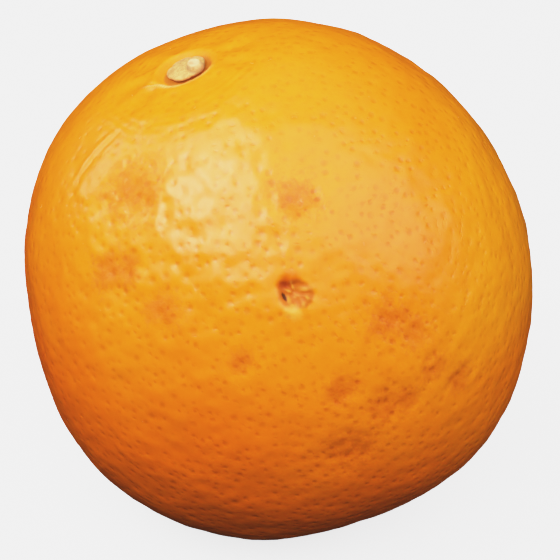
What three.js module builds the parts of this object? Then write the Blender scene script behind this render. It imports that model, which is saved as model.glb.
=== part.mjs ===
// A picked orange at rest: the fruit with its peel, and the dried stem button in the hollow at its top.
// Lengths are millimetres and angles degrees. +Z is up and z = 0 is the surface that the fruit lies on.
// Azimuth 0 faces -Y, the front, and azimuth 90 faces +X, the right.
import * as THREE from "three";
import { mergeVertices } from "three/addons/utils/BufferGeometryUtils.js";

// The fruit: a spheroid slightly longer from stem to blossom end, with its stem end leaning to the left.
const EQUATOR_DIAMETER = 76;
const STEM_TO_BLOSSOM = 79;
const STEM_AT = { azimuth: -83, elevation: 70 };
const REST_SPOT_RADIUS = 7;

// Swells and flats, where the growing fruit was fuller or pressed on its neighbours.
const SWELLS = [
  { azimuth: -48, elevation: -43, height: 0.8, spread: 18 },
  { azimuth: 30, elevation: -51, height: -0.9, spread: 12 },
  { azimuth: 66, elevation: -27, height: 0.75, spread: 12 },
  { azimuth: -82, elevation: -5, height: -1.0, spread: 14 },
  { azimuth: -105, elevation: 32, height: 0.5, spread: 14 },
  { azimuth: -145, elevation: 60, height: -0.4, spread: 9 },
  { azimuth: 112, elevation: 40, height: -0.2, spread: 18 },
  { azimuth: 165, elevation: -12, height: 0.5, spread: 20 },
  { azimuth: -150, elevation: -25, height: -0.5, spread: 15 },
];
const WAVES = { count: 9, height: 0.07, length: 11 };

// The hollow at the stem end: a flat seat for the button, a steep lip round it and a shallow funnel outside,
// with furrows that begin past the lip and die out further down. It reaches a little further on the left.
const HOLLOW = { radius: 4.6, seatDepth: 1.9, lipWidth: 0.8, shiftLeft: 0.3 };
const FUNNEL = { depth: 0.9, spread: 6.5 };
const FURROWS = { count: 9, sway: 1, depth: 0.28, from: 5, fullFrom: 7, fullTo: 8, to: 13 };

// The blossom end, opposite the stem: a small round scar in a shallow dimple.
const BLOSSOM = { depth: 0.7, spread: 3.2, scarRadius: 1.3, scarTopRadius: 0.8, scarHeight: 0.35 };

// The pit scar on the front: its floor and walls, the wrinkles across its edge and the raised rim below it.
const PIT = { azimuth: 3.5, elevation: 27.5, depth: 1.0, radius: 2.6, floorRadius: 0.65 };
const WRINKLES = { count: 7, depth: 0.14, at: 2.1, spread: 1.0 };
const PIT_RIM = { height: 0.18, at: 3.0, spread: 0.65 };

// Sunken patches of the peel: place, depth and spread, the last in millimetres along the peel.
const PATCHES = [
  { azimuth: -45.3, elevation: 42.4, depth: 0.7, spread: 2.9 },
  { azimuth: 6.1, elevation: 46.5, depth: 0.22, spread: 2.0 },
  { azimuth: -43.1, elevation: 24.5, depth: 0.3, spread: 1.7 },
  { azimuth: -38.4, elevation: 26.4, depth: 0.25, spread: 1.5 },
  { azimuth: -26.1, elevation: 21.5, depth: 0.2, spread: 1.2 },
  { azimuth: -8.2, elevation: 12.2, depth: 0.2, spread: 1.0 },
  { azimuth: 26.4, elevation: 18.7, depth: 0.35, spread: 2.0 },
  { azimuth: 32.0, elevation: 14.3, depth: 0.25, spread: 1.4 },
  { azimuth: 35.8, elevation: 5.0, depth: 0.28, spread: 1.2 },
  { azimuth: 43.4, elevation: -0.2, depth: 0.3, spread: 1.5 },
  { azimuth: 13.7, elevation: 4.5, depth: 0.28, spread: 1.7 },
  { azimuth: 23.7, elevation: -1.1, depth: 0.3, spread: 1.7 },
  { azimuth: 29.1, elevation: -0.5, depth: 0.22, spread: 1.2 },
  { azimuth: 16.2, elevation: -10.4, depth: 0.4, spread: 2.4 },
];

// The peel's oil glands, drawn as dimples about four times as wide as life.
const GLANDS = { depth: 0.4, variation: 0.4, seed: 7, fade: 2 };

// The geodesic net that carries the form, and how strongly it is drawn together where the form is fine.
const NET_DETAIL = 22;
const GATHER = { share: 0.55, reach: 15 };

// The stem button: a five-lobed disc of dried calyx, domed from its rim to its crown, with the stub of the
// stem off its centre and a small pit in the stub. It lies a gap's width above the seat.
const BUTTON = { radius: 3.0, lobes: 5, notch: 0.12, rim: 0.45, crown: 1.05, sides: 40, rings: 12 };
const STUB = { right: 1.6, back: -1.1, topRadius: 0.8, footRadius: 1.25, height: 0.8 };
const STUB_PIT = { depth: 0.35, spread: 0.45 };
const SEAT_GAP = 0.3;

const PEEL_COLOUR = 0xea8f1a;
const BUTTON_COLOUR = 0xcdb37c;

const radians = THREE.MathUtils.degToRad;
const degrees = THREE.MathUtils.radToDeg;
const smooth = THREE.MathUtils.smoothstep;
const bell = (x) => Math.exp(-0.5 * x * x);

function directionOf({ azimuth, elevation }) {
  const a = radians(azimuth);
  const e = radians(elevation);
  return new THREE.Vector3(Math.sin(a) * Math.cos(e), -Math.cos(a) * Math.cos(e), Math.sin(e));
}

const MEAN_RADIUS = (EQUATOR_DIAMETER + STEM_TO_BLOSSOM) / 4;
const SEAT_HEIGHT = STEM_TO_BLOSSOM / 2 - HOLLOW.seatDepth;
const STEM = directionOf(STEM_AT);
const BLOSSOM_END = STEM.clone().negate();
const DOWN = new THREE.Vector3(0, 0, -1);

// A flat chart of the peel round one place: right and back are millimetres along the peel from it.
function chartAt(place) {
  const right = new THREE.Vector3(1, 0, 0).projectOnPlane(place).normalize();
  const back = new THREE.Vector3().crossVectors(place, right);
  return (direction) => {
    const distance = MEAN_RADIUS * direction.angleTo(place);
    const turn = Math.atan2(direction.dot(back), direction.dot(right));
    return { distance, turn, right: distance * Math.cos(turn), back: distance * Math.sin(turn) };
  };
}

const stemChart = chartAt(STEM);
const blossomChart = chartAt(BLOSSOM_END);
const restChart = chartAt(DOWN);
const pitChart = chartAt(directionOf(PIT));
const patches = PATCHES.map((patch) => ({ ...patch, chart: chartAt(directionOf(patch)) }));
const swells = SWELLS.map((swell) => ({ ...swell, direction: directionOf(swell) }));

// The spheroid with its swells, and low waves that run over it in evenly spread directions.
function bodyRadius(direction) {
  const along = direction.dot(STEM);
  const across = 1 - along * along;
  let radius = 1 / Math.sqrt(across / (EQUATOR_DIAMETER / 2) ** 2 + (along / (STEM_TO_BLOSSOM / 2)) ** 2);
  for (const swell of swells) {
    radius += swell.height * bell(degrees(direction.angleTo(swell.direction)) / swell.spread);
  }
  for (let i = 0; i < WAVES.count; i++) {
    const height = 1 - (2 * i + 1) / WAVES.count;
    const turn = i * Math.PI * (3 - Math.sqrt(5));
    const level = Math.sqrt(1 - height * height);
    const axis = new THREE.Vector3(level * Math.cos(turn), level * Math.sin(turn), height);
    const phase = (2 * Math.PI * MEAN_RADIUS * direction.dot(axis)) / WAVES.length;
    radius += (WAVES.height / Math.sqrt(WAVES.count)) * Math.sin(phase + i);
  }
  return radius;
}

// The peel round the pit scar: a dent, wrinkles that run out from it and a raised rim below.
function pitRelief(direction) {
  const { distance, turn } = pitChart(direction);
  const dent = -PIT.depth * (1 - smooth(distance, PIT.floorRadius, PIT.radius));
  const edge = bell((distance - WRINKLES.at) / WRINKLES.spread);
  const wrinkle = WRINKLES.depth * edge * Math.cos(WRINKLES.count * turn);
  const below = Math.max(-Math.sin(turn), 0);
  const rim = PIT_RIM.height * below * bell((distance - PIT_RIM.at) / PIT_RIM.spread);
  return dent + wrinkle + rim;
}

function blossomRelief(direction) {
  const { distance } = blossomChart(direction);
  const scar = BLOSSOM.scarHeight * (1 - smooth(distance, BLOSSOM.scarTopRadius, BLOSSOM.scarRadius));
  return scar - BLOSSOM.depth * bell(distance / BLOSSOM.spread);
}

// The stem end: furrows and a funnel sink the peel, and inside the lip it drops to the flat seat.
function withHollow(direction, radius) {
  const { distance, turn, right, back } = stemChart(direction);
  const begun = smooth(distance, FURROWS.from, FURROWS.fullFrom);
  const left = 1 - smooth(distance, FURROWS.fullTo, FURROWS.to);
  const wave = 0.5 - 0.5 * Math.cos(FURROWS.count * turn + FURROWS.sway * Math.sin(2 * turn));
  const peel = radius - FUNNEL.depth * bell(distance / FUNNEL.spread) - FURROWS.depth * begun * left * wave;
  const fromHollow = Math.hypot(right + HOLLOW.shiftLeft, back);
  if (fromHollow >= HOLLOW.radius) return peel;
  const seat = SEAT_HEIGHT / direction.dot(STEM);
  return THREE.MathUtils.lerp(seat, peel, smooth(fromHollow, HOLLOW.radius - HOLLOW.lipWidth, HOLLOW.radius));
}

function peelRadius(direction) {
  let radius = bodyRadius(direction);
  for (const patch of patches) {
    radius -= patch.depth * bell(patch.chart(direction).distance / patch.spread);
  }
  return withHollow(direction, radius + pitRelief(direction) + blossomRelief(direction));
}

// Pulls a direction of the net towards a place, most of all beside it.
function gathered(direction, place) {
  const angle = direction.angleTo(place);
  const moved = angle * (1 - GATHER.share * bell(degrees(angle) / GATHER.reach));
  const side = direction.clone().projectOnPlane(place).normalize();
  return place.clone().multiplyScalar(Math.cos(moved)).addScaledVector(side, Math.sin(moved));
}

// Evenly spread numbers from 0 to 1, the same in every run.
function seededRandom(seed) {
  let state = seed >>> 0;
  return () => {
    state = (Math.imul(state, 1664525) + 1013904223) >>> 0;
    return state / 2 ** 32;
  };
}

// Sinks some of the net's points as glands. In a random order, it takes each point whose neighbours and
// their neighbours are all still level, so that every gland keeps a level ring of its own.
function glandDepths(index, count) {
  const random = seededRandom(GLANDS.seed);
  const neighbours = Array.from({ length: count }, () => new Set());
  for (let i = 0; i < index.count; i++) {
    const next = i % 3 === 2 ? i - 2 : i + 1;
    neighbours[index.getX(i)].add(index.getX(next));
    neighbours[index.getX(next)].add(index.getX(i));
  }
  const order = Array.from({ length: count }, (_, vertex) => ({ vertex, key: random() }));
  order.sort((one, other) => one.key - other.key);
  const depths = new Float64Array(count);
  for (const { vertex } of order) {
    const ring = [...neighbours[vertex]];
    const around = ring.flatMap((neighbour) => [neighbour, ...neighbours[neighbour]]);
    if (around.some((point) => depths[point] > 0)) continue;
    depths[vertex] = GLANDS.depth * (1 - GLANDS.variation * random());
  }
  return depths;
}

// Glands fade out at the stem and blossom ends, in the pit and on the spot that the fruit rests on.
function glandShare(direction) {
  const beyond = (chart, radius) => smooth(chart(direction).distance, radius, radius + GLANDS.fade);
  const ends = beyond(stemChart, FURROWS.from) * beyond(blossomChart, BLOSSOM.spread);
  return ends * beyond(pitChart, PIT.radius) * beyond(restChart, REST_SPOT_RADIUS);
}

// A net of even triangles with the peel's form. Its lowest part is pressed flat to the stated rest spot,
// and the centre of its box stands over the origin. Returns the fruit's centre with the geometry.
function makeFruit() {
  const net = new THREE.IcosahedronGeometry(1, NET_DETAIL);
  net.deleteAttribute("normal");
  net.deleteAttribute("uv");
  const geometry = mergeVertices(net, 1e-5);
  const position = geometry.getAttribute("position");
  const depths = glandDepths(geometry.getIndex(), position.count);
  for (let i = 0; i < position.count; i++) {
    let direction = new THREE.Vector3().fromBufferAttribute(position, i).normalize();
    for (const place of [STEM, directionOf(PIT)]) direction = gathered(direction, place);
    const radius = peelRadius(direction) - depths[i] * glandShare(direction);
    position.setXYZ(i, ...direction.multiplyScalar(radius));
  }
  geometry.computeBoundingBox();
  const { min, max } = geometry.boundingBox;
  const sag = MEAN_RADIUS - Math.sqrt(MEAN_RADIUS ** 2 - REST_SPOT_RADIUS ** 2);
  const centre = new THREE.Vector3(-(min.x + max.x) / 2, -(min.y + max.y) / 2, -min.z - sag);
  geometry.translate(...centre);
  for (let i = 0; i < position.count; i++) position.setZ(i, Math.max(position.getZ(i), 0));
  const material = new THREE.MeshStandardMaterial({ color: PEEL_COLOUR, roughness: 0.42, metalness: 0 });
  const fruit = new THREE.Mesh(geometry, material);
  fruit.name = "fruit";
  return { fruit, centre };
}

// A turned disc, flat below and domed above, whose axis is +Z. Its rim is then drawn in between the lobes,
// and the top is raised into the stub.
function makeStemButton() {
  const { radius, rim, crown } = BUTTON;
  const edge = 0.97;
  const domeHeight = (share) => crown + (rim - crown) * share ** 2;
  const profile = [0, 0.35, 0.7, 0.95].map((share) => new THREE.Vector2(share * radius, 0));
  profile.push(new THREE.Vector2(radius, rim / 2));
  for (let ring = BUTTON.rings; ring >= 0; ring--) {
    const share = (edge * ring) / BUTTON.rings;
    profile.push(new THREE.Vector2(share * radius, domeHeight(share)));
  }
  const turned = new THREE.LatheGeometry(profile, BUTTON.sides).rotateX(Math.PI / 2);
  turned.deleteAttribute("normal");
  turned.deleteAttribute("uv");
  const geometry = mergeVertices(turned, 1e-4);
  const position = geometry.getAttribute("position");
  for (let i = 0; i < position.count; i++) {
    const [x, y, z] = [position.getX(i), position.getY(i), position.getZ(i)];
    const lobe = Math.sqrt(Math.abs(Math.sin((BUTTON.lobes / 2) * Math.atan2(y, x))));
    const scale = 1 - BUTTON.notch * (Math.hypot(x, y) / radius) ** 3 * (1 - lobe);
    const fromStub = Math.hypot(x - STUB.right, y - STUB.back);
    const rise = STUB.height * (1 - smooth(fromStub, STUB.topRadius, STUB.footRadius));
    const onTop = z > rim / 2;
    const lift = onTop ? rise - STUB_PIT.depth * bell(fromStub / STUB_PIT.spread) : 0;
    position.setXYZ(i, x * scale, y * scale, z + lift);
  }
  const material = new THREE.MeshStandardMaterial({ color: BUTTON_COLOUR, roughness: 0.85, metalness: 0 });
  const button = new THREE.Mesh(geometry, material);
  button.name = "stem_button";
  return button;
}

// The button lies on the seat: its +Z is the stem's axis, and its +X stays in the plane of right and up.
function seatButton(button, centre) {
  const right = new THREE.Vector3(1, 0, 0).projectOnPlane(STEM).normalize();
  const back = new THREE.Vector3().crossVectors(STEM, right);
  button.quaternion.setFromRotationMatrix(new THREE.Matrix4().makeBasis(right, back, STEM));
  button.position.copy(centre).addScaledVector(STEM, SEAT_HEIGHT + SEAT_GAP);
}

const orange = new THREE.Group();
orange.name = "orange";
const { fruit, centre } = makeFruit();
const stemButton = makeStemButton();
seatButton(stemButton, centre);
orange.add(fruit, stemButton);

export default orange;
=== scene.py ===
"""A picked orange at rest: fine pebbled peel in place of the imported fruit, and its dried stem button.
Lengths are metres. +Z is up, -Y is the front, with the pit scar, and the stem end leans to the left, -X."""

import math

import bpy
import numpy as np
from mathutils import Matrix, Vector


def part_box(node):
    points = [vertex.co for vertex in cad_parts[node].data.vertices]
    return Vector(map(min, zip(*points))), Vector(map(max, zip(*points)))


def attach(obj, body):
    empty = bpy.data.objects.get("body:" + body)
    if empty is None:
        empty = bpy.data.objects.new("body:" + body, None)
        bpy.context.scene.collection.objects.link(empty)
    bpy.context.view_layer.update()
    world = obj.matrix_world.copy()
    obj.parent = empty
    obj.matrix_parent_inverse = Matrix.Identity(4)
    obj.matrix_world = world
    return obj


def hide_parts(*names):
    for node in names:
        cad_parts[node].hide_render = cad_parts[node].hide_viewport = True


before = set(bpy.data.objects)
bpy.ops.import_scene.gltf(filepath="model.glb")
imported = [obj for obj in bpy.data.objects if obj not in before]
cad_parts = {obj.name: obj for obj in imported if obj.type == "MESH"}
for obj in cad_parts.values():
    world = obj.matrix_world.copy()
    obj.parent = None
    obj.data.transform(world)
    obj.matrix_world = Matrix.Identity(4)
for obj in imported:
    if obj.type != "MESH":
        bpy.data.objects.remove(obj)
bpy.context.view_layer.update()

# The fruit. A grown orange is a body of juicy segments in thick peel: nearly round, a little longer from the
# stem to the blossom end, and fuller or flatter where it grew free or lay against its neighbours.
mm = 0.001
equator_radius = 38.0 * mm
pole_radius = 39.5 * mm
mean_radius = (equator_radius + pole_radius) / 2
rest_spot_radius = 7.0 * mm


def toward(azimuth, elevation):
    """The unit direction at an azimuth and an elevation in degrees. Azimuth 0 faces -Y and 90 faces +X."""
    a = math.radians(azimuth)
    e = math.radians(elevation)
    return np.array((math.sin(a) * math.cos(e), -math.cos(a) * math.cos(e), math.sin(e)))


def unit(vectors):
    """Each vector divided by its own length, or by a tiny number where it has none."""
    return vectors / np.maximum(np.linalg.norm(vectors, axis=-1, keepdims=True), 1e-12)


def bell(x):
    """One at the middle and falling to nothing on both sides: e to the power of minus half x squared."""
    return np.exp(-0.5 * x * x)


def smooth(x, start, end):
    """Rises from 0 at start to 1 at end with level ends: three squares less two cubes."""
    t = np.clip((x - start) / (end - start), 0.0, 1.0)
    return t * t * (3.0 - 2.0 * t)


def angle_to(directions, place):
    """The angle in radians between each direction and a place."""
    return np.arccos(np.clip(directions @ place, -1.0, 1.0))


def chart(directions, place):
    """A flat chart of the peel round a place. The distance is the angle times the mean radius. With the turn
    round the place it gives right and back."""
    right_way = unit(np.array((1.0, 0.0, 0.0)) - place[0] * place)
    back_way = np.cross(place, right_way)
    distance = mean_radius * angle_to(directions, place)
    turn = np.arctan2(directions @ back_way, directions @ right_way)
    return distance, turn, distance * np.cos(turn), distance * np.sin(turn)


stem = toward(-83, 70)
# Each swell or flat has its place, its height and its spread in degrees.
swells = (
    (toward(-48, -43), 0.8 * mm, 18),
    (toward(30, -51), -0.9 * mm, 12),
    (toward(66, -27), 0.75 * mm, 12),
    (toward(-82, -5), -1.0 * mm, 14),
    (toward(-105, 32), 0.5 * mm, 14),
    (toward(-145, 60), -0.4 * mm, 9),
    (toward(112, 40), -0.2 * mm, 18),
    (toward(165, -12), 0.5 * mm, 20),
    (toward(-150, -25), -0.5 * mm, 15),
)
wave_count = 9
wave_height = 0.07 * mm
wave_length = 11.0 * mm
golden_turn = math.pi * (3.0 - math.sqrt(5.0))


def spiral(count):
    """Evenly spread directions: equal steps down in height, each a golden turn further round."""
    step = np.arange(count)
    height = 1.0 - (2.0 * step + 1.0) / count
    level = np.sqrt(1.0 - height * height)
    return np.stack((level * np.cos(step * golden_turn), level * np.sin(step * golden_turn), height), axis=-1)


def fruit_body(directions):
    """The spheroid's radius, with bell-shaped swells and flats, and low waves that run in even directions."""
    along = directions @ stem
    radius = 1.0 / np.sqrt((1.0 - along**2) / equator_radius**2 + along**2 / pole_radius**2)
    for place, height, spread in swells:
        radius = radius + height * bell(np.degrees(angle_to(directions, place)) / spread)
    phase = 2.0 * math.pi * mean_radius / wave_length * (directions @ spiral(wave_count).T)
    waves = np.sin(phase + np.arange(wave_count)).sum(axis=1)
    return radius + wave_height / math.sqrt(wave_count) * waves


# The peel's net: a cube of even squares blown up to a sphere, drawn together at the stem end and at the pit
# scar, where the form is finest. It has just under 200,000 triangles.
net_steps = 128
pit = toward(3.5, 27.5)
gathers = ((stem, 0.5, 13.0), (pit, 0.45, 9.0))


def even_net(steps):
    """Squares on the six faces of a cube, numbered once each, blown up so that their angles are equal."""
    ticks = np.arange(-steps, steps + 1, 2)
    u, v = np.meshgrid(ticks, ticks, indexing="ij")
    faces = []
    for axis in range(3):
        for side in (-1, 1):
            face = np.empty(u.shape + (3,), int)
            face[..., axis] = side * steps
            face[..., (axis + 1) % 3] = side * u
            face[..., (axis + 2) % 3] = v
            faces.append(face)
    corners, number = np.unique(np.reshape(faces, (-1, 3)), axis=0, return_inverse=True)
    number = number.reshape(6, steps + 1, steps + 1)
    around = (number[:, :-1, :-1], number[:, 1:, :-1], number[:, 1:, 1:], number[:, :-1, 1:])
    return unit(np.tan(corners * math.pi / (4.0 * steps))), np.stack(around, axis=-1).reshape(-1, 4)


def gathered(directions, place, share, reach):
    """Directions pulled towards a place: each angle is cut by a share that fades as a bell of that reach."""
    angle = angle_to(directions, place)[:, None]
    moved = angle * (1.0 - share * bell(np.degrees(angle) / reach))
    side = unit(directions - (directions @ place)[:, None] * place)
    return place * np.cos(moved) + side * np.sin(moved)


directions, quads = even_net(net_steps)
for place, share, reach in gathers:
    directions = gathered(directions, place, share, reach)

# The stem end. The peel is drawn down to the stem: a shallow furrowed funnel, a steep lip and a flat seat for
# the button. On the left the near lip runs out into a fold.
seat_depth = 1.9 * mm
hollow_radius = 4.6 * mm
hollow_shift_left = 0.3 * mm
lip_width = 0.8 * mm
seat_radius = hollow_radius - lip_width
funnel_depth = 0.9 * mm
funnel_spread = 6.5 * mm
furrow_count = 9
furrow_depth = 0.28 * mm
furrow_begins = (5.0 * mm, 7.0 * mm)
furrow_ends = (8.0 * mm, 13.0 * mm)
fold_from = (-6.6 * mm, -0.8 * mm)
fold_to = (-2.6 * mm, -2.9 * mm)
fold_depth = 0.5 * mm
fold_width = 0.3 * mm
fold_lip = 0.25 * mm
fold_lip_width = 0.42 * mm
fold_lip_from_fold = 0.66 * mm
# Where a pale painted highlight lies along the near lip and the fold's edge, how wide it is and how far round
# it goes, and where the fold begins and fades.
near_lip_highlight_at = 4.7 * mm
near_lip_highlight_width = 0.17 * mm
fold_edge_highlight_width = 0.165 * mm
near_side_depth = (1.0 * mm, 3.0 * mm)
left_side_width = 2.5 * mm
right_side_share = 0.35
fold_begins = (-0.05, 0.35)
fold_fades = (0.9, 1.1)
fold_edge_highlight_from_fold = 0.6 * mm
fold_edge_highlight_share = 0.9

stem_distance, stem_turn, stem_right, stem_back = chart(directions, stem)


def from_line(right, back, start, end):
    """How far points of a chart lie along a straight line, as a share of it, and across it to its left."""
    along = np.subtract(end, start)
    length = np.hypot(*along)
    share = ((right - start[0]) * along[0] + (back - start[1]) * along[1]) / length**2
    across = ((back - start[1]) * along[0] - (right - start[0]) * along[1]) / length
    return share, across


def stem_end(radius):
    """The peel's radius less a bell-shaped funnel, furrows and a fold, blended at the lip into the seat."""
    begun = smooth(stem_distance, *furrow_begins) * (1.0 - smooth(stem_distance, *furrow_ends))
    wave = 0.5 - 0.5 * np.cos(furrow_count * stem_turn + np.sin(2.0 * stem_turn))
    peel = radius - funnel_depth * bell(stem_distance / funnel_spread) - furrow_depth * begun * wave
    peel = peel - fold_depth * fold_ends * bell(fold_across / fold_width)
    peel = peel + fold_lip * fold_ends * bell((fold_across + fold_lip_from_fold) / fold_lip_width)
    rise = smooth(from_hollow, seat_radius, hollow_radius)
    seat = (pole_radius - seat_depth) / np.maximum(directions @ stem, 0.5)
    return seat * (1.0 - rise) + peel * rise


from_hollow = np.hypot(stem_right + hollow_shift_left, stem_back)
on_left = smooth(-stem_right, 0.0, left_side_width)
near_side = smooth(-stem_back, *near_side_depth) * (right_side_share + (1.0 - right_side_share) * on_left)
# Masks of a pale painted highlight on the near lip and along the fold's edge.
near_lip_highlight = bell((from_hollow - near_lip_highlight_at) / near_lip_highlight_width) * near_side
fold_share, fold_across = from_line(stem_right, stem_back, fold_from, fold_to)
fold_ends = smooth(fold_share, *fold_begins) * (1.0 - smooth(fold_share, *fold_fades))
fold_edge_highlight = fold_ends * bell((fold_across + fold_edge_highlight_from_fold) / fold_edge_highlight_width)
painted_lip_highlight = np.maximum(near_lip_highlight, fold_edge_highlight_share * fold_edge_highlight)


# The pit scar. A bite healed over while the fruit was small: a hole, a crack below it and a dried floor drawn
# up in pleats, with a raised rim at its foot. The finish paints the hole dark red, the crack dark and the
# upper wall a deeper red as painted shade, and the rim pale as a painted highlight.
pit_depth = 1.0 * mm
pit_radius = 2.6 * mm
pit_floor_radius = 0.65 * mm
pleats_at = (0.85 * mm, -0.4 * mm)
pleat_count = 6
pleat_height = 0.34 * mm
pleat_middle = 1.3 * mm
pleat_spread = 0.75 * mm
pleat_curl = 0.5 / mm
ripple_step = 0.21 * mm
pit_hole_at = (-1.18 * mm, 0.9 * mm)
pit_hole_depth = 0.8 * mm
pit_hole_spread = 0.42 * mm
crack_from = (-1.25 * mm, -0.35 * mm)
crack_to = (-0.7 * mm, -1.4 * mm)
crack_depth = 0.45 * mm
crack_width = 0.2 * mm
crack_share = 0.4
pit_shallow_share = 0.45
pit_shallow_from = 0.2 * mm
pit_shallow_to = 2.4 * mm
pit_rim_height = 0.18 * mm
pit_rim_at = 3.0 * mm
pit_rim_spread = 0.65 * mm

pit_distance, pit_turn, pit_right, pit_back = chart(directions, pit)


def pit_scar():
    """A dent with an uneven outline that grows shallower to the right, uneven pleats that curl out from one
    point, crossed by finer ripples round it, a bell-shaped hole and crack, and a bell for the near rim."""
    outline = pit_radius * (1.0 + 0.09 * np.sin(3.0 * pit_turn + 0.6) + 0.06 * np.sin(7.0 * pit_turn))
    shallower = 1.0 - pit_shallow_share * smooth(pit_right, pit_shallow_from, pit_shallow_to)
    dent = -pit_depth * shallower * (1.0 - smooth(pit_distance, pit_floor_radius, outline))
    right = pit_right - pleats_at[0]
    back = pit_back - pleats_at[1]
    out = np.hypot(right, back)
    way = np.arctan2(back, right)
    curled = pleat_count / 2.0 * way + 0.9 * np.sin(2.0 * way + 1.0) + pleat_curl * out
    ridge = (1.0 - 2.0 * np.abs(np.sin(curled))) * (0.65 + 0.35 * np.sin(3.0 * way + 0.5))
    ridge = ridge + 0.35 * np.cos(out / ripple_step + 2.0 * np.sin(way))
    pleats = pleat_height * bell((out - pleat_middle) / pleat_spread) * ridge
    from_hole = np.hypot(pit_right - pit_hole_at[0], pit_back - pit_hole_at[1])
    hole = pit_hole_depth * bell(from_hole / pit_hole_spread)
    share, across = from_line(pit_right, pit_back, crack_from, crack_to)
    crack = bell(across / crack_width) * bell((share - 0.5) / crack_share)
    below = np.maximum(-np.sin(pit_turn), 0.0)
    rim = pit_rim_height * below * bell((pit_distance - pit_rim_at) / pit_rim_spread)
    return dent + pleats - hole - crack_depth * crack + rim, pleats / pleat_height, crack


pit_form, pit_ridges, pit_crack = pit_scar()


# The blossom end, under the fruit and opposite the stem. The flower fell off there and left a small round
# scar in a shallow dimple.
blossom_depth = 0.7 * mm
blossom_spread = 3.2 * mm
blossom_scar_radius = 1.3 * mm
blossom_scar_top = 0.8 * mm
blossom_scar_height = 0.35 * mm

blossom_distance = mean_radius * angle_to(directions, -stem)


def blossom_end():
    """A bell-shaped dimple with a low round knob in its middle."""
    scar = blossom_scar_height * (1.0 - smooth(blossom_distance, blossom_scar_top, blossom_scar_radius))
    return scar - blossom_depth * bell(blossom_distance / blossom_spread)


# Sunken patches. Where the peel was bruised, its oil glands emptied and sank, so that it turned a deeper
# orange there and lost its wax, in uneven blots with a coarse grain. Each has its place, depth and spread.
patches = (
    (toward(-45.3, 42.4), 0.70 * mm, 2.9 * mm),
    (toward(6.1, 46.5), 0.22 * mm, 2.0 * mm),
    (toward(-43.1, 24.5), 0.30 * mm, 1.9 * mm),
    (toward(-38.4, 26.4), 0.25 * mm, 1.7 * mm),
    (toward(-26.1, 21.5), 0.26 * mm, 1.8 * mm),
    (toward(-8.2, 12.2), 0.20 * mm, 1.3 * mm),
    (toward(26.4, 18.7), 0.30 * mm, 2.1 * mm),
    (toward(32.0, 14.3), 0.25 * mm, 1.7 * mm),
    (toward(35.8, 5.0), 0.24 * mm, 1.4 * mm),
    (toward(43.4, -0.2), 0.22 * mm, 1.7 * mm),
    (toward(13.7, 4.5), 0.28 * mm, 1.7 * mm),
    (toward(23.7, -1.1), 0.28 * mm, 1.8 * mm),
    (toward(29.1, -0.5), 0.22 * mm, 1.5 * mm),
    (toward(16.2, -10.4), 0.40 * mm, 2.4 * mm),
)
patch_reach = 1.25
crumple_count = 50
crumple_lengths = (1.4 * mm, 2.8 * mm)
crumple_height = 0.06 * mm
chance = np.random.default_rng(5)


def sunken():
    """The depth of the patches, a bell round each place, and how far inside one a point is, from 0 to 1."""
    depth = np.zeros(len(directions))
    inside = np.zeros(len(directions))
    for place, patch_depth, spread in patches:
        across = mean_radius * angle_to(directions, place) / spread
        depth += patch_depth * bell(across)
        inside = np.maximum(inside, bell(across / patch_reach))
    return depth, inside


def rippled(count, lengths, height):
    """Uneven swelling of a given mean height: a sum of cosine waves of random way, length and phase."""
    ways = unit(chance.normal(size=(count, 3)))
    phase = chance.uniform(0.0, 2.0 * math.pi, count)
    length = chance.uniform(*lengths, count)
    waves = np.cos(2.0 * math.pi * mean_radius * (directions @ ways.T) / length + phase)
    return height * math.sqrt(2.0 / count) * waves.sum(axis=1)


patch_depth, patch_share = sunken()
patch_relief = patch_share * rippled(crumple_count, crumple_lengths, crumple_height) - patch_depth

# The rubbed crease, on the left above the big patch. Where the young fruit rubbed on something, its peel
# healed as a thin ridge with a groove on the right of it.
crease_from = toward(-65.9, 51.5)
crease_to = toward(-67.2, 37.0)
crease_height = 0.1 * mm
crease_depth = 0.14 * mm
crease_width = 0.34 * mm
crease_step = 0.75 * mm
crease_begins = (-0.1, 0.2)
crease_fades = (0.75, 1.15)


def crease():
    """A bell beside a sunk bell, carried along the arc between two places and levelled at its ends."""
    side_way = unit(np.cross(crease_from, crease_to))
    along_way = np.cross(side_way, crease_from)
    share = np.arctan2(directions @ along_way, directions @ crease_from) / math.acos(crease_from @ crease_to)
    across = mean_radius * np.arcsin(directions @ side_way)
    ends = smooth(share, *crease_begins) * (1.0 - smooth(share, *crease_fades))
    ridge = crease_height * bell((across + crease_step / 2.0) / crease_width)
    return ends * (ridge - crease_depth * bell((across - crease_step / 2.0) / crease_width))


# The oil glands. Thousands of them lie side by side in the peel, each a small pit with a darker middle, and
# the peel is cushioned between them, most of all round the big patch on the left.
gland_count = 6600
gland_jitter = 0.5 * mm
gland_radii = (0.38 * mm, 0.62 * mm)
gland_depths = (0.01 * mm, 0.1 * mm)
cushion_count = 60
cushion_lengths = (2.2 * mm, 6.5 * mm)
cushion_height = 0.03 * mm
uneven_place = toward(-28.0, 38.0)
uneven_spread = 17.0
uneven_gain = 3.0
level_edge = 0.5 * mm
pit_level_edge = 1.0 * mm
rest_level_edge = 2.0 * mm
stem_smoother = 0.35
stem_smoother_from = (0.6, 0.9)
patch_gain = 0.6
even_gain = 0.4
shallow_gland_tint = 0.35
search_blocks = 64


def nearest_two(points, sites):
    """The numbers of the two sites nearest to each point: those whose directions have the largest product."""
    pairs = []
    for block in np.array_split(points.astype(np.float32), search_blocks):
        closeness = block @ sites.T.astype(np.float32)
        rows = np.arange(len(block))
        first = closeness.argmax(axis=1)
        closeness[rows, first] = -1.0
        pairs.append(np.stack((first, closeness.argmax(axis=1)), axis=1))
    return np.concatenate(pairs).T


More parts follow.
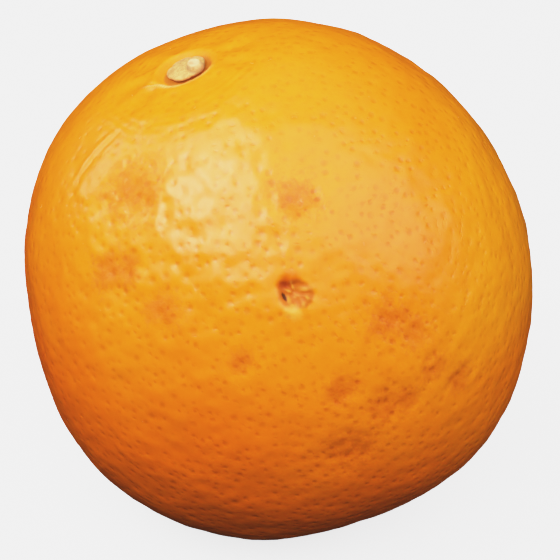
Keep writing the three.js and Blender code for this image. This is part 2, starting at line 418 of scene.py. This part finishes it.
gland_sites = unit(spiral(gland_count) + chance.normal(size=(gland_count, 3)) * gland_jitter / mean_radius)
gland_radius = chance.uniform(*gland_radii, gland_count)
gland_depth = chance.uniform(*gland_depths, gland_count)
gland, next_gland = nearest_two(directions, gland_sites)
gland_offset = (directions - gland_sites[gland]) * mean_radius / gland_radius[gland][:, None]
gland_distance = np.linalg.norm(gland_offset, axis=1)
gland_margin = np.linalg.norm(directions - gland_sites[next_gland], axis=1) * mean_radius
gland_margin = gland_margin - gland_distance * gland_radius[gland]
from_rest_spot = mean_radius * angle_to(directions, np.array((0.0, 0.0, -1.0)))
level = smooth(from_hollow, hollow_radius - level_edge, hollow_radius + level_edge)
level = level * smooth(pit_distance, pit_radius, pit_radius + pit_level_edge)
level = level * smooth(from_rest_spot, rest_spot_radius, rest_spot_radius + rest_level_edge)
level = level * (1.0 - stem_smoother * smooth(directions @ stem, *stem_smoother_from))
uneven = 1.0 + uneven_gain * bell(np.degrees(angle_to(directions, uneven_place)) / uneven_spread)
gland_gain = (1.0 + patch_gain * patch_share) * (even_gain + (1.0 - even_gain) * uneven)
gland_tint = level * (shallow_gland_tint + (1.0 - shallow_gland_tint) * gland_depth[gland] / gland_depths[1])
gland_relief = gland_depth[gland] * gland_gain * bell(gland_distance) * level
cushions = rippled(cushion_count, cushion_lengths, cushion_height) * uneven * level

radius = fruit_body(directions) + pit_form + blossom_end() + crease() + patch_relief
radius = stem_end(radius) - gland_relief + cushions
skin = directions * radius[:, None]
fruit_low, fruit_high = (np.array(corner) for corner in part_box("fruit"))
skin *= min(1.0, np.min((fruit_high - fruit_low)[:2] / np.ptp(skin, axis=0)[:2]))
fruit_centre = (fruit_low + fruit_high - skin.min(axis=0) - skin.max(axis=0)) / 2.0
fruit_centre[2] = fruit_high[2] - skin[:, 2].max()
skin += fruit_centre
skin[:, 2] = np.maximum(skin[:, 2], fruit_low[2])


def add_mesh(name, points, quads, attributes=None):
    """A smooth mesh object at the origin from its points and quads, with numbers or vectors at each point."""
    mesh = bpy.data.meshes.new(name)
    mesh.vertices.add(len(points))
    mesh.vertices.foreach_set("co", np.ravel(points).astype(np.float32))
    mesh.loops.add(quads.size)
    mesh.loops.foreach_set("vertex_index", np.ravel(quads).astype(np.int32))
    mesh.polygons.add(len(quads))
    mesh.polygons.foreach_set("loop_start", np.arange(0, quads.size, quads.shape[1], dtype=np.int32))
    mesh.update(calc_edges=True)
    mesh.shade_smooth()
    for label, values in (attributes or {}).items():
        is_vector = values.ndim == 2
        layer = mesh.attributes.new(label, "FLOAT_VECTOR" if is_vector else "FLOAT", "POINT")
        layer.data.foreach_set("vector" if is_vector else "value", np.ravel(values).astype(np.float32))
    piece = bpy.data.objects.new(name, mesh)
    bpy.context.scene.collection.objects.link(piece)
    return piece


flat = np.zeros(len(directions))
peel = add_mesh("orange_peel", skin, quads, {
    "gland_offset": gland_offset,
    "gland_margin": gland_margin / mm,
    "gland_tint": gland_tint,
    "patch": patch_share,
    "stem_place": np.stack((stem_right, stem_back, flat), axis=1) / mm,
    "pit_place": np.stack((pit_right, pit_back, flat), axis=1) / mm,
    "stem_height": directions @ stem,
    "painted_lip_highlight": painted_lip_highlight,
    "pit_ridge": pit_ridges,
    "pit_crack": pit_crack,
})


class Value:
    """A shader socket that takes part in Python sums: each sign adds the Math node that works it out."""

    def __init__(self, finish, socket):
        self.finish = finish
        self.socket = socket

    def math(self, operation, *others):
        return self.finish.math(operation, self, *others)

    def __add__(self, other):
        return self.math("ADD", other)

    def __radd__(self, other):
        return self.math("ADD", other)

    def __sub__(self, other):
        return self.math("SUBTRACT", other)

    def __rsub__(self, other):
        return self.finish.math("SUBTRACT", other, self)

    def __mul__(self, other):
        return self.math("MULTIPLY", other)

    def __rmul__(self, other):
        return self.math("MULTIPLY", other)

    def __truediv__(self, other):
        return self.math("DIVIDE", other)

    def __rtruediv__(self, other):
        return self.finish.math("DIVIDE", other, self)

    def __pow__(self, other):
        return self.math("POWER", other)


class Finish:
    """One material, built up from nodes. Its output is joined to the shader by finish.surface."""

    def __init__(self, name):
        self.material = bpy.data.materials.new(name)
        self.material.use_nodes = True
        self.tree = self.material.node_tree
        self.tree.nodes.clear()

    def node(self, kind, settings=None, sockets=None, output=0):
        """Adds a node of a kind, sets its settings and then its sockets, and returns the output asked for."""
        added = self.tree.nodes.new("ShaderNode" + kind)
        for name, value in (settings or {}).items():
            setattr(added, name, value)
        for name, value in (sockets or {}).items():
            if isinstance(value, Value):
                self.tree.links.new(value.socket, added.inputs[name])
            else:
                added.inputs[name].default_value = value
        return Value(self, added.outputs[output])

    def math(self, operation, *values):
        return self.node("Math", {"operation": operation}, dict(enumerate(values)))

    def attribute(self, name, output="Fac"):
        return self.node("Attribute", {"attribute_name": name}, output=output)

    def place(self):
        return self.node("TexCoord", output="Object")

    def smooth(self, value, start, end):
        """Rises from 0 at start to 1 at end with level ends."""
        return self.node(
            "MapRange",
            {"interpolation_type": "SMOOTHSTEP"},
            {"Value": value, "From Min": start, "From Max": end},
        )

    def noise(self, vector, size, detail=2.0, roughness=0.5, warp=0.0):
        """Cloudy noise from 0 to 1 with blots of about the given size."""
        sockets = {"Vector": vector, "Scale": 1.0 / size, "Detail": detail}
        return self.node("TexNoise", None, {**sockets, "Roughness": roughness, "Distortion": warp})

    def mix(self, share, one, other, blend="MIX"):
        """The first colour where share is 0, going over to the other where it is 1."""
        return self.node(
            "Mix",
            {"data_type": "RGBA", "blend_type": blend, "clamp_factor": True},
            {0: share, 6: one, 7: other},
            output=2,
        )

    def length(self, vector):
        return self.node("VectorMath", {"operation": "LENGTH"}, {0: vector}, output="Value")

    def parts(self, vector):
        """A vector's x, y and z."""
        return [self.node("SeparateXYZ", None, {0: vector}, output=i) for i in range(3)]

    def bump(self, relief, strength, distance):
        return self.node("Bump", None, {"Strength": strength, "Distance": distance, "Height": relief})

    def shader(self, sockets):
        return self.node("BsdfPrincipled", None, sockets)

    def surface(self, shader):
        """Joins a shader to the output, and returns the material."""
        output = self.tree.nodes.new("ShaderNodeOutputMaterial")
        self.tree.links.new(shader.socket, output.inputs["Surface"])
        return self.material


def rgba(red, green, blue):
    """A colour from its sRGB parts of 0 to 255, in the linear light that shaders use."""
    parts = [part / 255.0 for part in (red, green, blue)]
    return (*[p / 12.92 if p <= 0.04045 else ((p + 0.055) / 1.055) ** 2.4 for p in parts], 1.0)


# The peel's finish: satin, waxy and a little translucent. It is yellower round the stem and a deeper orange
# below, with darker glands, sunken patches that have lost their wax, and dried tissue in the pit scar. The
# pit's hole, crack and upper wall are darkened as painted shade and its near rim made pale as a painted
# highlight; the stem's seat is darkened as painted shade and its near lip made pale as a painted highlight.
peel_yellow = rgba(244, 140, 14)
peel_orange = rgba(243, 123, 10)
peel_deep = rgba(241, 105, 8)
freckle_shade = (0.94, 0.84, 0.7, 1.0)
gland_shade = (0.66, 0.6, 0.4, 1.0)
patch_shade = (0.81, 0.75, 0.72, 1.0)
mottle_shade = (0.88, 0.78, 0.7, 1.0)
# Among these, the red of the pit's upper wall and the colours of its hole, crack and near rim, and of the
# stem's seat and lip, are painted shade and painted highlights.
wall_shade_tint = (0.84, 0.6, 0.6, 1.0)
pit_floor = rgba(170, 80, 8)
pit_ridge = rgba(216, 132, 40)
hole_shade_red = rgba(158, 54, 8)
crack_shade_dark = rgba(56, 18, 0)
pit_rim_highlight_pale = rgba(226, 160, 60)
lip_highlight_pale = rgba(255, 184, 110)
seat_shade_brown = rgba(150, 88, 26)
scar_tan = rgba(168, 108, 44)
cloud_size = 16 * mm
grain_size = 2.2 * mm
fine_size = 0.5 * mm
peel_bump = 0.1 * mm
peel_index = 1.46
peel_glow = 1.8 * mm
waxed_roughness = 0.25
waxed_gloss = 0.65
dried_roughness = 0.6
dried_gloss = 0.2
peel_bump_strength = 0.5
peel_translucence = 0.12
peel_glow_parts = (1.0, 0.45, 0.12)
noise_detail = 3.0
noise_roughness = 0.6

# Where tints begin and are full: heights from -1 at the bottom to 1 at the top, and shares of the radius.
orange_heights = (-0.5, 0.3)
yellow_heights = (0.2, 1.0)
beside_from = (0.45, 0.8)
beside_heights = (-0.15, 0.2)
side_from = (0.35, 0.85)

# How strongly each tint shows, as a share of one.
stem_yellow_strength = 0.35
freckle_strength = 0.5
gland_strength = 0.62
gland_side_loss = 0.37
blot_strength = 0.9
mottle_strength = 0.8
wall_shade_strength = 0.8
floor_strength = 0.85
ridge_strength = 0.65
pit_rim_highlight_strength = 0.45
hole_shade_strength = 0.85
crack_shade_strength = 0.9
seat_shade_strength = 0.75
scar_strength = 0.7

# Places on the pit's chart, in millimetres: right and back, and for an oval how much wider it is than high.
wall_shade_oval = (-0.2, 2.0, 1.3)
dried_oval = (0.6, -0.4, 1.25)
foot_oval = (0.15, -3.0, 1.1)
hole_oval = (pit_hole_at[0] / mm, pit_hole_at[1] / mm, 1.3)
kept_wax_at = (0.0, 17.5)


def peel_finish():
    finish = Finish("orange_peel")
    place = finish.place()
    broad = finish.noise(place, cloud_size, noise_detail)
    grain = finish.noise(place, grain_size, noise_detail, noise_roughness)
    fine = finish.noise(place, fine_size, noise_detail, noise_roughness)
    # How far each noise swings from its middle, from -0.5 to 0.5.
    broad_swing = broad - 0.5
    grain_swing = grain - 0.5
    fine_swing = fine - 0.5

    right, _, up = finish.parts(place)
    height = up / fruit_centre[2] - 1.0
    up = height + right * (0.35 / equator_radius)
    uneven = broad_swing * 0.9 + grain_swing * 0.5
    colour = finish.mix(finish.smooth(up + uneven, *orange_heights), peel_deep, peel_orange)
    near_stem = finish.smooth(finish.attribute("stem_height") + uneven * 0.5, *yellow_heights)
    sideways = right.math("ABSOLUTE") / equator_radius
    beside = finish.smooth(sideways + uneven * 0.3, *beside_from)
    beside = beside * (0.5 + right * (0.6 / equator_radius)) * finish.smooth(height, *beside_heights)
    colour = finish.mix(near_stem * stem_yellow_strength + beside, colour, peel_yellow)
    freckle = finish.smooth(grain * 0.6 + fine * 0.4, 0.4, 0.62)
    colour = finish.mix(freckle * freckle_strength, colour, freckle_shade, "MULTIPLY")

    from_gland = finish.length(finish.attribute("gland_offset", "Vector"))
    inside_cell = finish.smooth(finish.attribute("gland_margin"), 0.35, 0.8)
    seen = inside_cell * finish.attribute("gland_tint")
    spot = (1.0 - finish.smooth(from_gland + fine_swing * 0.9, 0.2, 1.4)) * seen
    spot_strength = gland_strength - gland_side_loss * finish.smooth(sideways, *side_from)
    colour = finish.mix(spot * spot_strength, colour, gland_shade, "MULTIPLY")

    patch = finish.attribute("patch")
    uneven_grain = finish.smooth(fine, 0.4, 0.6)
    ragged = grain_swing * 1.3 + fine_swing * 0.8
    blot = finish.smooth(patch + ragged, 0.2, 0.8)
    mottle = finish.smooth(patch * 0.8 + grain_swing * 1.2 + fine_swing * 0.5 + spot * 0.4, 0.45, 1.0)
    colour = finish.mix(blot * blot_strength, colour, patch_shade, "MULTIPLY")
    colour = finish.mix(mottle * mottle_strength, colour, mottle_shade, "MULTIPLY")

    pit_place = finish.attribute("pit_place", "Vector")
    pit_x, pit_y, _ = finish.parts(pit_place)

    def from_point(right, back, wide=1.0):
        """Millimetres from a point of the pit's chart, with the part to the right divided by wide."""
        return (((pit_x - right) / wide) ** 2.0 + (pit_y - back) ** 2.0).math("SQRT")

    pit_grain = grain_swing * 1.4 + fine_swing * 0.8
    # Painted shade: the pit's upper wall is darkened to a deeper red.
    wall_shade = 1.0 - finish.smooth(from_point(*wall_shade_oval) + pit_grain, 0.3, 1.5)
    colour = finish.mix(wall_shade * wall_shade_strength, colour, wall_shade_tint, "MULTIPLY")
    dried = 1.0 - finish.smooth(from_point(*dried_oval) + pit_grain * 0.6, 1.7, 2.3)
    colour = finish.mix(dried * floor_strength, colour, pit_floor)
    ridge = finish.smooth(finish.attribute("pit_ridge"), -0.3, 0.6)
    colour = finish.mix(dried * ridge * ridge_strength, colour, pit_ridge)
    # Painted highlight: the raised rim at the pit's foot is made pale.
    pit_rim_highlight = 1.0 - finish.smooth(from_point(*foot_oval) + pit_grain * 1.4, 0.4, 1.5)
    colour = finish.mix(pit_rim_highlight * pit_rim_highlight_strength, colour, pit_rim_highlight_pale)
    # Painted shade: the hole is darkened to a deep red.
    hole = 1.0 - finish.smooth(from_point(*hole_oval) + pit_grain * 0.4, 0.2, 1.0)
    colour = finish.mix(hole * hole_shade_strength, colour, hole_shade_red)
    # Painted shade: the crack is darkened nearly to black.
    crack = finish.smooth(finish.attribute("pit_crack") + fine_swing * 0.8, 0.15, 0.6)
    colour = finish.mix(crack * crack_shade_strength, colour, crack_shade_dark)

    around = finish.length(finish.attribute("stem_place", "Vector"))
    lip_at = hollow_radius / mm
    seat_at = seat_radius / mm
    hollow = 1.0 - finish.smooth(around + grain_swing * 0.6, lip_at - 0.2, lip_at + 0.6)
    seat = 1.0 - finish.smooth(around + grain_swing * 0.8, seat_at - 0.3, seat_at + 0.3)
    # Painted shade: the seat round the button, down in the hollow, is darkened brown.
    colour = finish.mix(seat * seat_shade_strength, colour, seat_shade_brown)
    # Painted highlight: the near lip and the fold's edge are made pale.
    colour = finish.mix(finish.attribute("painted_lip_highlight"), colour, lip_highlight_pale)
    # The straight way from the blossom end, in mean radii, is the root of twice one plus the stem height.
    from_blossom = ((finish.attribute("stem_height") + 1.0) * 2.0) ** 0.5 * (mean_radius / mm)
    scar = 1.0 - finish.smooth(from_blossom + grain_swing * 0.8, 0.8, 1.7)
    colour = finish.mix(scar * scar_strength, colour, scar_tan)
    band = finish.smooth(around, 6.5, 9.0) * (1.0 - finish.smooth(around, 11.0, 20.0))
    growth = (around * 4.6 + broad * 22.0).math("SINE") * band * finish.smooth(broad, 0.35, 0.6)

    pore = (1.0 - finish.smooth(from_gland, 0.0, 1.3)) * seen
    crinkle = patch * (0.6 + uneven_grain * 0.8)
    relief = fine * 0.2 + grain * (0.4 + crinkle) - pore + growth * 0.3
    bump = finish.bump(relief, peel_bump_strength, peel_bump)
    kept_wax = 1.0 - finish.smooth(from_point(*kept_wax_at), 4.0, 6.5)
    worn = blot * (0.7 + 0.3 * uneven_grain - kept_wax * 0.6)
    bare = 1.0 - (1.0 - worn) * (1.0 - dried * 0.9) * (1.0 - hollow * 0.85)
    body = {
        "Base Color": colour,
        "IOR": peel_index,
        "Subsurface Weight": peel_translucence,
        "Subsurface Radius": peel_glow_parts,
        "Subsurface Scale": peel_glow,
        "Normal": bump,
    }
    waxy = waxed_roughness + grain_swing * 0.1
    waxed = finish.shader({**body, "Roughness": waxy, "Specular IOR Level": waxed_gloss})
    dried_out = finish.shader({**body, "Roughness": dried_roughness, "Specular IOR Level": dried_gloss})
    return finish.surface(finish.node("MixShader", None, {0: bare, 1: waxed, 2: dried_out}))


peel.data.materials.append(peel_finish())
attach(peel, "root")
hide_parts("fruit")

# The stem button: what stays of the flower's cup and of the stem, dried hard and pale. It is a disc with five
# blunt lobes, domed and wrinkled, with the stub of the stem standing off its centre in a cracked ring.
button_radius = 3.0 * mm
button_lobes = 5
button_notch = 0.12
button_rim = 0.45 * mm
button_crown = 1.05 * mm
button_rows = 64
button_sides = 160
stub_right = 1.6 * mm
stub_back = -1.1 * mm
stub_top_radius = 0.8 * mm
stub_foot_radius = 1.25 * mm
stub_height = 0.8 * mm
stub_pit_depth = 0.35 * mm
stub_pit_spread = 0.45 * mm
wrinkle_height = 0.03 * mm
wrinkle_count = 13
wrinkle_fade = (0.8 * mm, 2.0 * mm)
seat_gap = 0.3 * mm
weld_gap = 0.002 * mm


def button_form():
    """A turned profile, out along the dome and back along the flat underside. Its radius is drawn in between
    the lobes, and its top is raised by the stub and by wrinkles that run out from it."""
    share = np.concatenate((np.linspace(0.0, 0.97, button_rows), (1.0, 0.95, 0.5, 0.0)))
    height = button_crown + (button_rim - button_crown) * share**2
    height[button_rows:] = (button_rim / 2.0, 0.0, 0.0, 0.0)
    turn = np.arange(button_sides) * 2.0 * math.pi / button_sides
    share_grid, turn_grid = np.meshgrid(share, turn, indexing="ij")
    height_grid = np.repeat(height[:, None], button_sides, axis=1)
    lobe = np.sqrt(np.abs(np.sin(button_lobes / 2.0 * turn_grid)))
    out = button_radius * share_grid * (1.0 - button_notch * share_grid**3 * (1.0 - lobe))
    right = out * np.cos(turn_grid)
    back = out * np.sin(turn_grid)
    from_stub = np.hypot(right - stub_right, back - stub_back)
    on_top = (np.arange(len(share)) < button_rows)[:, None]
    rise = stub_height * (1.0 - smooth(from_stub, stub_top_radius, stub_foot_radius))
    rise = rise - stub_pit_depth * bell(from_stub / stub_pit_spread)
    way = np.arctan2(back - stub_back, right - stub_right)
    wrinkles = np.cos(wrinkle_count * way + 2.0 * np.sin(3.0 * way)) * smooth(from_stub, *wrinkle_fade)
    return right, back, height_grid + on_top * (rise + wrinkle_height * wrinkles)


def seated(right, back, height):
    """Points of the button's own right, back and height, put on the seat at the end of the stem's axis."""
    right_way = unit(np.array((1.0, 0.0, 0.0)) - stem[0] * stem)
    back_way = np.cross(stem, right_way)
    seat = fruit_centre + stem * (pole_radius - seat_depth + seat_gap)
    grid = right[..., None] * right_way + back[..., None] * back_way + height[..., None] * stem
    return (seat + grid).reshape(-1, 3)


def closed_quads(rows, sides):
    """Quads between neighbouring rows of a grid whose columns close on themselves."""
    number = np.arange(rows * sides).reshape(rows, sides)
    ahead = np.roll(number, -1, axis=1)
    quads = np.stack((number[:-1], number[1:], ahead[1:], ahead[:-1]), axis=-1)
    return quads.reshape(-1, 4)


button_right, button_back, button_height = button_form()
button_points = seated(button_right, button_back, button_height)
button = add_mesh("dried_button", button_points, closed_quads(*button_right.shape), {
    "button_place": np.stack((button_right, button_back, button_height), axis=-1).reshape(-1, 3) / mm,
})
weld = button.modifiers.new("closed poles", "WELD")
weld.merge_threshold = weld_gap

calyx_cream = rgba(208, 160, 92)
calyx_tan = rgba(176, 124, 64)
calyx_crack = rgba(120, 76, 36)
calyx_pale = rgba(226, 186, 136)
calyx_pink = rgba(206, 138, 92)
calyx_green = rgba(132, 124, 62)
calyx_grain_size = 0.9 * mm
calyx_fine_size = 0.25 * mm
calyx_bump = 0.12 * mm
calyx_glow = 0.6 * mm
calyx_roughness = 0.72
calyx_bump_strength = 0.8
calyx_translucence = 0.08
calyx_glow_parts = (1.0, 0.7, 0.4)
crack_ring = 1.25
dent_left = 0.4
green_strength = 0.7
stub_strength = 0.6
dent_strength = 0.8
ring_strength = 0.45


def button_finish():
    finish = Finish("dried_calyx")
    place = finish.place()
    grain = finish.noise(place, calyx_grain_size, 4.0, 0.65, 0.4)
    fine = finish.noise(place, calyx_fine_size, 3.0, 0.6)
    grain_swing = grain - 0.5
    colour = finish.mix(finish.smooth(grain * 0.7 + fine * 0.3, 0.4, 0.62), calyx_cream, calyx_tan)
    across, along, _ = finish.parts(finish.attribute("button_place", "Vector"))
    rim = (across ** 2.0 + along ** 2.0).math("SQRT")
    green = finish.smooth(rim + grain_swing * 0.8, 2.5, 3.1) * finish.smooth(across + along, 0.5, 2.5)
    colour = finish.mix(green * green_strength, colour, calyx_green)
    stub_across = across - stub_right / mm
    stub_along = along - stub_back / mm
    from_stub = (stub_across ** 2.0 + stub_along ** 2.0).math("SQRT")
    stub = 1.0 - finish.smooth(from_stub + grain_swing * 1.2, 0.6, 1.4)
    colour = finish.mix(stub * stub_strength, colour, calyx_pale)
    from_dent = ((stub_across + dent_left) ** 2.0 + stub_along ** 2.0).math("SQRT")
    dent = 1.0 - finish.smooth(from_dent + grain_swing * 0.7, 0.1, 0.6)
    colour = finish.mix(dent * dent_strength, colour, calyx_pink)
    crack = 1.0 - finish.smooth((from_stub - crack_ring).math("ABSOLUTE") + grain_swing * 1.2, 0.0, 0.25)
    colour = finish.mix(crack * ring_strength, colour, calyx_crack)
    relief = grain + fine * 0.5 - crack * 0.5
    return finish.surface(finish.shader({
        "Base Color": colour,
        "Roughness": calyx_roughness + grain_swing * 0.2,
        "Subsurface Weight": calyx_translucence,
        "Subsurface Radius": calyx_glow_parts,
        "Subsurface Scale": calyx_glow,
        "Normal": finish.bump(relief, calyx_bump_strength, calyx_bump),
    }))


button.data.materials.append(button_finish())
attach(button, "root")
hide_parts("stem_button")

# The floor: a plain pale sheet, eight metres across, bright enough of itself to look white. It takes the
# fruit's shadow, but throws no light back up under the fruit.
floor_half = 4.0
floor_grey = 0.86
floor_roughness = 0.9
floor_glow = 1.0
floor_corners = floor_half * np.array(((-1, -1, 0), (1, -1, 0), (1, 1, 0), (-1, 1, 0)))
floor = add_mesh("pale_floor", floor_corners, np.array(((0, 1, 2, 3),)))
floor_finish = Finish("pale_floor")
floor_white = floor_finish.shader({
    "Base Color": (floor_grey, floor_grey, floor_grey, 1.0),
    "Roughness": floor_roughness,
    "Emission Color": (1.0, 1.0, 1.0, 1.0),
    "Emission Strength": floor_glow,
})
floor.data.materials.append(floor_finish.surface(floor_white))
floor.visible_diffuse = False
floor.visible_glossy = False

# The studio: broad soft panels above, whose sheen shows on the waxy peel, fills that leave no sheen, and a
# dim room all round. Distances and sizes are metres, powers are watts and spreads are degrees.
panel_distance = 0.8
panel_spread = 120.0
fill_distance = 0.9
fill_size = (0.8, 0.5)
fill_spread = 180.0
room_colour = (0.02, 0.012, 0.006, 1.0)
middle = (fruit_low + fruit_high) / 2.0


def softbox(name, side, rise, distance, size, power, spread, turn=0.0):
    """A rectangular soft light that faces the fruit. Rise is its turn in degrees about the left-right axis,
    from the front horizon to straight above at 90, and side is how far it then lies to the right of that arc.
    Turn rolls it about the line to the fruit."""
    a = math.radians(side)
    b = math.radians(rise)
    axes = np.eye(4)
    axes[:3, 0] = (math.cos(a), math.sin(a) * math.cos(b), -math.sin(a) * math.sin(b))
    axes[:3, 1] = (0.0, math.sin(b), math.cos(b))
    axes[:3, 2] = (math.sin(a), -math.cos(a) * math.cos(b), math.cos(a) * math.sin(b))
    c = math.cos(math.radians(turn))
    s = math.sin(math.radians(turn))
    axes[:3, :2] = axes[:3, :2] @ np.array(((c, -s), (s, c)))
    axes[:3, 3] = middle + axes[:3, 2] * distance
    lamp = bpy.data.objects.new(name, bpy.data.lights.new(name, "AREA"))
    lamp.data.shape = "RECTANGLE"
    lamp.data.size, lamp.data.size_y = size
    lamp.data.energy = power
    lamp.data.spread = math.radians(spread)
    lamp.matrix_world = axes.T
    bpy.context.scene.collection.objects.link(lamp)
    return lamp


softbox("left panel", -24.5, 69, panel_distance, (0.57, 1.04), 3.1, panel_spread, 13.0)
softbox("left panel's core", -31, 71, panel_distance - 0.01, (0.25, 0.27), 0.25, panel_spread)
softbox("side panel", -57, 126, panel_distance, (0.31, 0.42), 0.42, panel_spread)
softbox("right panel", 24, 70, panel_distance, (2.4, 0.84), 4.2, panel_spread + 5.0, -6.0)
fills = (
    ("front fill", 6, 34.5, 7.4),
    ("right fill", 52, 64, 2.9),
    ("left fill", -46, 62, 4.8),
    ("back light", 10, 120, 2.0),
)
for name, side, rise, power in fills:
    fill = softbox(name, side, rise, fill_distance, fill_size, power, fill_spread)
    fill.visible_glossy = False

world = bpy.data.worlds.new("dim room")
world.use_nodes = True
room = world.node_tree.nodes["Background"]
room.inputs["Color"].default_value = room_colour
room.inputs["Strength"].default_value = 1.0
bpy.context.scene.world = world

# The picture's tone: bright parts are held down gently, each colour on its own, as a camera does. The light
# in is divided by the knee-th root of one plus the knee-th power of light in over the top.
tone_top = 0.885
tone_knee = 3.2
tone_reach = 4.0
tone_foot = 0.007
tone_inputs = (0.1, 0.2, 0.35, 0.5, 0.7, 0.9, 1.2, 1.6, 2.2, 3.0)
view = bpy.context.scene.view_settings
view.view_transform = "Standard"
view.use_curve_mapping = True
view.curve_mapping.white_level = (tone_reach, tone_reach, tone_reach)
tone = view.curve_mapping.curves[3]
for light_in in tone_inputs:
    held_down = (1.0 + (light_in / tone_top) ** tone_knee) ** (1.0 / tone_knee)
    tone.points.new(light_in / tone_reach, light_in / held_down)
tone.points[0].location = (0.0, tone_foot)
tone.points[-1].location = (1.0, tone_top)
view.curve_mapping.update()

# The camera: half a metre away, 30 degrees above the level, with the fruit nearly filling the frame.
camera_distance = 0.5
camera_elevation = 30.0
camera_lens = 215.35
camera_sensor = 36.0
aim_right = 0.115 * mm
aim_down = 0.38 * mm
view_way = toward(0.0, camera_elevation)
view_up = toward(180.0, 90.0 - camera_elevation)
aim = middle + np.array((aim_right, 0.0, 0.0)) - view_up * aim_down
camera = bpy.data.objects.new("camera", bpy.data.cameras.new("camera"))
camera.data.lens = camera_lens
camera.data.sensor_width = camera_sensor
camera.location = aim + view_way * camera_distance
camera.rotation_euler = (math.radians(90.0 - camera_elevation), 0.0, 0.0)
bpy.context.scene.collection.objects.link(camera)
bpy.context.scene.camera = camera
